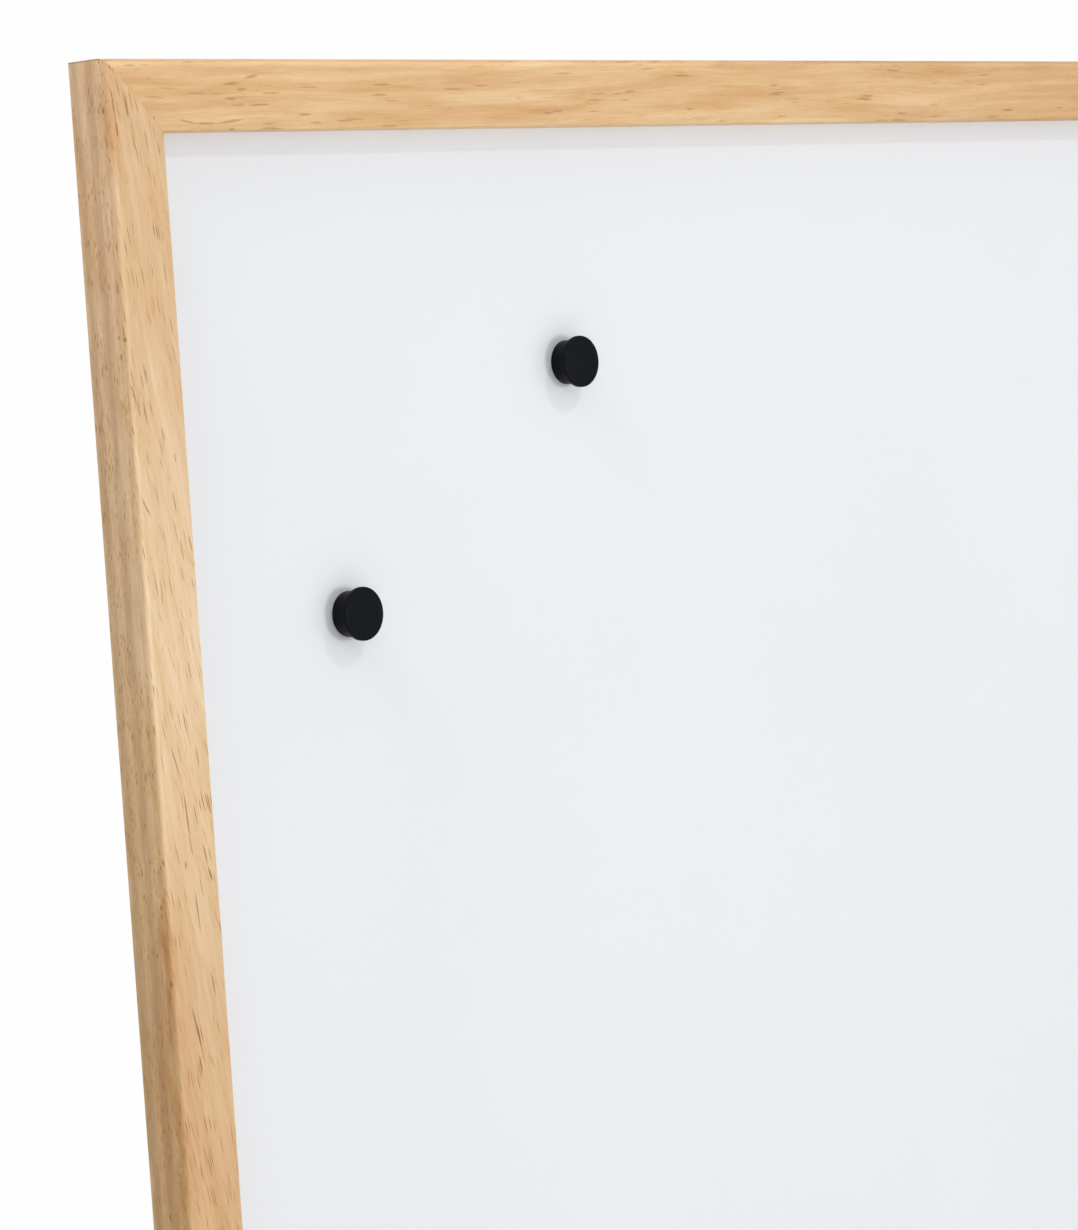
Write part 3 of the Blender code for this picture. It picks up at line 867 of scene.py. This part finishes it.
def member_skin(side):
    length = BOARD_WIDTH if side in ("top", "bottom") else BOARD_HEIGHT
    half = length / 2
    setback = MITRE_GAP / math.sqrt(2)
    stations = round(length / STATION_SPACING)
    rings = []
    for step in range(stations + 1):
        share = 2 * step / stations - 1
        radius = rounding(side, share * half, half * (1 - abs(share)))
        section = moulding_section(radius)
        rings.append([(share * (half - v - setback), v, w) for v, w in section])
    bm = bmesh.new()
    loft(bm, rings)
    return bm


def make_members():
    """Each side's moulding, with the list of cutters to take out of it."""
    names = {
        "top": "frame_rail_top",
        "left": "frame_stile_left",
        "bottom": "frame_rail_bottom",
        "right": "frame_stile_right",
    }
    members = {}
    for side, node in names.items():
        piece = place(node + "_moulding", member_skin(side), side_frame(side), wood(side, **WOOD[side]))
        hand_in(piece, "wood", node)
        members[side] = (piece, [])
    return members


# V nails and framing points

def nail_outline(grow=0.0, thin=0.0):
    """A strip bent round its corner at (0, 0), grown all round or thinned on its inner side."""
    thickness = NAIL_THICKNESS - thin + grow
    centre = (NAIL_THICKNESS + NAIL_BEND, NAIL_THICKNESS + NAIL_BEND)
    outer = NAIL_THICKNESS + NAIL_BEND + grow
    inner = centre[0] - thickness
    far = NAIL_LEG + grow
    outline = [(far, -grow)]
    outline += arc(centre, outer, 270, 180, 6)
    outline += [(-grow, far), (thickness, far)]
    outline += arc(centre, inner, 180, 270, 6)
    outline += [(far, thickness)]
    return outline


def make_v_nails(members, steel):
    for rail in ("top", "bottom"):
        for stile in ("left", "right"):
            down, inward = SIDES[rail][0], SIDES[stile][0]
            first, second = (down, inward) if down.cross(inward).dot(FORWARD) > 0 else (inward, down)
            for where in ("outer", "inner"):
                node = f"v_nail_{rail}_{stile}_{where}"
                low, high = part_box(node)
                corner_x = low.x if stile == "left" else high.x
                corner_z = high.z if rail == "top" else low.z
                matrix = local_frame(first, second, Vector((corner_x, 0, corner_z)))
                back, front = -high.y, -low.y
                thinning = NAIL_THICKNESS - NAIL_EDGE_THICKNESS
                levels = ((back, 0.0), (front - NAIL_EDGE, 0.0), (front, thinning))
                bm = bmesh.new()
                loft(bm, [[(x, y, level) for x, y in nail_outline(thin=thin)] for level, thin in levels])
                hand_in(place(node + "_strip", bm, matrix, steel), "plated_steel", node)
                for side in (rail, stile):
                    slot = prism(nail_outline(grow=NAIL_FIT), -CUT_OVERRUN, front + NAIL_FIT)
                    members[side][1].append(place(node + "_slot", slot, matrix))


def blade_half_width(reach, length, half):
    """Half the blade's width so far from its tip: a point at one end and round corners at the other."""
    if reach < POINT_TIP:
        return POINT_TIP_WIDTH / 2 + (half - POINT_TIP_WIDTH / 2) * reach / POINT_TIP
    corner = reach - (length - POINT_CORNER)
    if corner > 0:
        return half - POINT_CORNER + math.sqrt(max(POINT_CORNER**2 - corner**2, 0))
    return half


def blade_skin(length, half, back, front, wall):
    """A flat blade from its tip outwards, whose part beyond the wood's wall is lifted."""
    reaches = [0, POINT_TIP * 0.5, POINT_TIP, wall, wall + POINT_RISE * 0.25, wall + POINT_RISE * 0.5]
    reaches += [wall + POINT_RISE * 0.75, wall + POINT_RISE]
    for turn in range(0, 91, 15):
        reaches.append(length - POINT_CORNER + POINT_CORNER * math.sin(math.radians(turn)))
    rings = []
    for reach in reaches:
        wide = blade_half_width(reach, length, half)
        share = min(max((reach - wall) / POINT_RISE, 0), 1)
        lift = POINT_LIFT * eased(share)
        edge = min(POINT_EDGE, wide / 2)
        low, high = back + lift, front + lift
        rings.append([
            (-wide, reach, low + POINT_EDGE), (-wide + edge, reach, low),
            (wide - edge, reach, low), (wide, reach, low + POINT_EDGE),
            (wide, reach, high - POINT_EDGE), (wide - edge, reach, high),
            (-wide + edge, reach, high), (-wide, reach, high - POINT_EDGE),
        ])
    bm = bmesh.new()
    loft(bm, rings)
    return bm


def make_framing_points(members, steel):
    for side, (_, cutters) in members.items():
        matrix = side_frame(side)
        into_side = matrix.inverted()
        names = [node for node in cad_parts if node.startswith(f"framing_point_{side}_")]
        for node in names:
            corners = [into_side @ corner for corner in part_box(node)]
            low = Vector(map(min, *corners))
            high = Vector(map(max, *corners))
            length, half = high.y - low.y, (high.x - low.x) / 2
            there = matrix @ Matrix.Translation(((low.x + high.x) / 2, low.y, 0))
            wall = BACK_WIDTH - low.y
            blade = place(node + "_blade", blade_skin(length, half, low.z, high.z, wall), there, steel)
            hand_in(blade, "plated_steel", node)
            bite = [(-POINT_TIP_WIDTH, -POINT_FIT), (POINT_TIP_WIDTH, -POINT_FIT),
                    (half + POINT_FIT, POINT_TIP), (half + POINT_FIT, wall + CUT_OVERRUN),
                    (-half - POINT_FIT, wall + CUT_OVERRUN), (-half - POINT_FIT, POINT_TIP)]
            slot = prism(bite, low.z - POINT_FIT, high.z + POINT_FIT)
            cutters.append(place(node + "_slot", slot, there))


# Keyhole plates and their screws

def keyhole_outline():
    """A round hole with a slot that runs up from it."""
    half = KEYHOLE_SLOT_WIDTH / 2
    meeting = math.degrees(math.asin(half / KEYHOLE_RADIUS))
    round_hole = arc((0, 0), KEYHOLE_RADIUS, meeting, 360 - meeting, 2 * PLATE_STEPS)
    return round_hole + arc((KEYHOLE_RISE, 0), half, -90, 90, PLATE_STEPS)


def cross_outline():
    """A cross with arms of CROSS_WIDTH and an overall span of CROSS_SPAN."""
    arm, half = CROSS_SPAN / 2, CROSS_WIDTH / 2
    quarter = [(arm, -half), (arm, half), (half, half)]
    cross = []
    for turn in range(4):
        spin = Matrix.Rotation(turn * math.pi / 2, 2)
        cross += [tuple(spin @ Vector(point)) for point in quarter]
    return cross


def cross_recess():
    """The cross narrows towards its floor."""
    bm = bmesh.new()
    rings = []
    for level, size in ((-CUT_OVERRUN, 1.0), (0, 1.0), (CROSS_DEPTH, 0.55)):
        rings.append([(x * size, y * size, level) for x, y in cross_outline()])
    loft(bm, rings)
    return bm


def screw_skin(head, length):
    """A countersunk head, a neck and a threaded shank, from the head's flat face along w."""
    shank = head / 2
    neck = head - shank + SCREW_NECK

    def thread(turn, level):
        if level <= neck:
            return 0
        ramp_in = min((level - neck) / THREAD_PITCH, 1)
        ramp_out = min(max((length - level) / SCREW_TIP, 0), 1)
        phase = (level / THREAD_PITCH + turn) % 1
        return THREAD_DEPTH * ramp_in * ramp_out * min(abs(2 * phase - 1) * 1.6, 1)

    profile = [(head - SCREW_HEAD_EDGE, 0), (head, SCREW_HEAD_EDGE * 0.4), (head, SCREW_HEAD_EDGE)]
    profile += [(shank, head - shank + SCREW_HEAD_EDGE)]
    level = neck
    while level < length:
        taper = min((length - level) / SCREW_TIP, 1)
        profile.append((max(shank * taper, SCREW_POINT_RADIUS), level))
        level += THREAD_PITCH / 10
    return turned(profile, SCREW_STEPS, thread)


def make_hangers(members, steel):
    for side in ("left", "right"):
        node = f"hanger_plate_{side}"
        low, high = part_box(node)
        half = (high.x - low.x) / 2
        keyhole_height = low.z + half + SCREW_BELOW
        matrix = upright_frame((low.x + high.x) / 2, keyhole_height, 0)
        above = high.z - half - keyhole_height
        back, front = -high.y, -low.y
        plate_outline = stadium(half, -SCREW_BELOW, above, PLATE_STEPS)
        plate = place(node + "_stamping", prism(plate_outline, back, front), matrix, steel)
        keyhole = prism(keyhole_outline(), -CUT_OVERRUN, front + CUT_OVERRUN)
        plate_cutters = [place("keyhole", keyhole, matrix)]
        member_cutters = members[side][1]

        seat = front + PLATE_FIT
        seat_outline = stadium(half + PLATE_FIT, -SCREW_BELOW, above, PLATE_STEPS)
        member_cutters.append(place("plate_seat", prism(seat_outline, -CUT_OVERRUN, seat), matrix))
        pocket_outline = stadium(POCKET_RADIUS, 0, KEYHOLE_RISE, PLATE_STEPS)
        member_cutters.append(place("head_pocket", prism(pocket_outline, 0, seat + POCKET_DEPTH), matrix))

        for level in ("lower", "upper"):
            screw_node = f"hanger_screw_{side}_{level}"
            first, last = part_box(screw_node)
            head, length = (last.x - first.x) / 2, last.y - first.y
            there = upright_frame((first.x + last.x) / 2, (first.z + last.z) / 2, -last.y)
            screw = place(screw_node + "_threaded", screw_skin(head, length), there, steel)
            carve(screw, [place("cross", cross_recess(), there)])
            hand_in(screw, "plated_steel", screw_node)
            mouth = head + COUNTERSINK_GAP
            sink = [(mouth + CUT_OVERRUN, -CUT_OVERRUN), (mouth, 0),
                    (mouth - front - CUT_OVERRUN, front + CUT_OVERRUN)]
            plate_cutters.append(place("countersink", turned(sink, SCREW_STEPS), there))
            bore = head / 2 + PILOT_GAP
            pilot = [(bore, 0), (bore, length - SCREW_TIP), (PILOT_TIP_RADIUS, length + PILOT_GAP)]
            member_cutters.append(place("pilot", turned(pilot, SCREW_STEPS), there))
        carve(plate, plate_cutters)
        soften(plate, PLATE_EDGE)
        hand_in(plate, "plated_steel", node)


# Magnets

def knob_profile(cap, height, pocket_radius, pocket_top):
    """From the top of the magnet's pocket out over the base, body, rim and dished cap."""
    body = cap - KNOB_BODY_INSET
    neck = height - KNOB_RIM
    profile = [(pocket_radius * 0.02, pocket_top), (pocket_radius, pocket_top), (pocket_radius, 0)]
    profile += arc((body - KNOB_BASE_EDGE, KNOB_BASE_EDGE), KNOB_BASE_EDGE, 270, 360, 5)
    profile += arc((body + KNOB_FILLET, neck - KNOB_FILLET), KNOB_FILLET, 180, 90, 6)
    profile += arc((cap - KNOB_BASE_EDGE, neck + KNOB_BASE_EDGE), KNOB_BASE_EDGE, -90, 0, 5)
    profile += arc((cap - KNOB_CAP_EDGE, height - KNOB_CAP_EDGE), KNOB_CAP_EDGE, 0, 90, 8)
    dish = cap - KNOB_DISH_INSET
    for step in range(KNOB_DISH_STEPS + 1):
        share = step / KNOB_DISH_STEPS
        profile.append((dish - KNOB_DISH_SLOPE * share, height - KNOB_DISH_DEPTH * eased(share)))
    profile.append((cap * 0.02, height - KNOB_DISH_DEPTH))
    return profile


def make_magnets():
    black, dark = plastic(), ferrite()
    for which in ("upper", "lower"):
        knob, disc = f"magnet_knob_{which}", f"magnet_disc_{which}"
        low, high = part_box(knob)
        disc_low, disc_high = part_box(disc)
        base = WRITING_FACE + SHEET_CONTACT
        there = upright_frame((low.x + high.x) / 2, (low.z + high.z) / 2, base)
        cap, height = (high.x - low.x) / 2, -low.y - base
        disc_radius, disc_top = (disc_high.x - disc_low.x) / 2, -disc_low.y - base
        profile = knob_profile(cap, height, disc_radius + DISC_FIT, disc_top + DISC_FIT)
        button = place(knob + "_button", turned(profile, KNOB_STEPS), there, black)
        hand_in(button, "black_plastic", knob)
        edge = arc((disc_radius - DISC_EDGE, DISC_EDGE), DISC_EDGE, 270, 360, 4)
        edge += arc((disc_radius - DISC_EDGE, disc_top - DISC_EDGE), DISC_EDGE, 0, 90, 4)
        slug = place(disc + "_slug", turned(edge, KNOB_STEPS), there, dark)
        hand_in(slug, "ferrite", disc)


def main():
    view = bpy.context.scene.view_settings
    view.view_transform = "Standard"
    view.look = "None"
    make_room()
    make_camera()
    make_panel()
    members = make_members()
    steel = zinc()
    make_v_nails(members, steel)
    make_framing_points(members, steel)
    make_hangers(members, steel)
    for member, cutters in members.values():
        carve(member, cutters)
    make_magnets()


main()
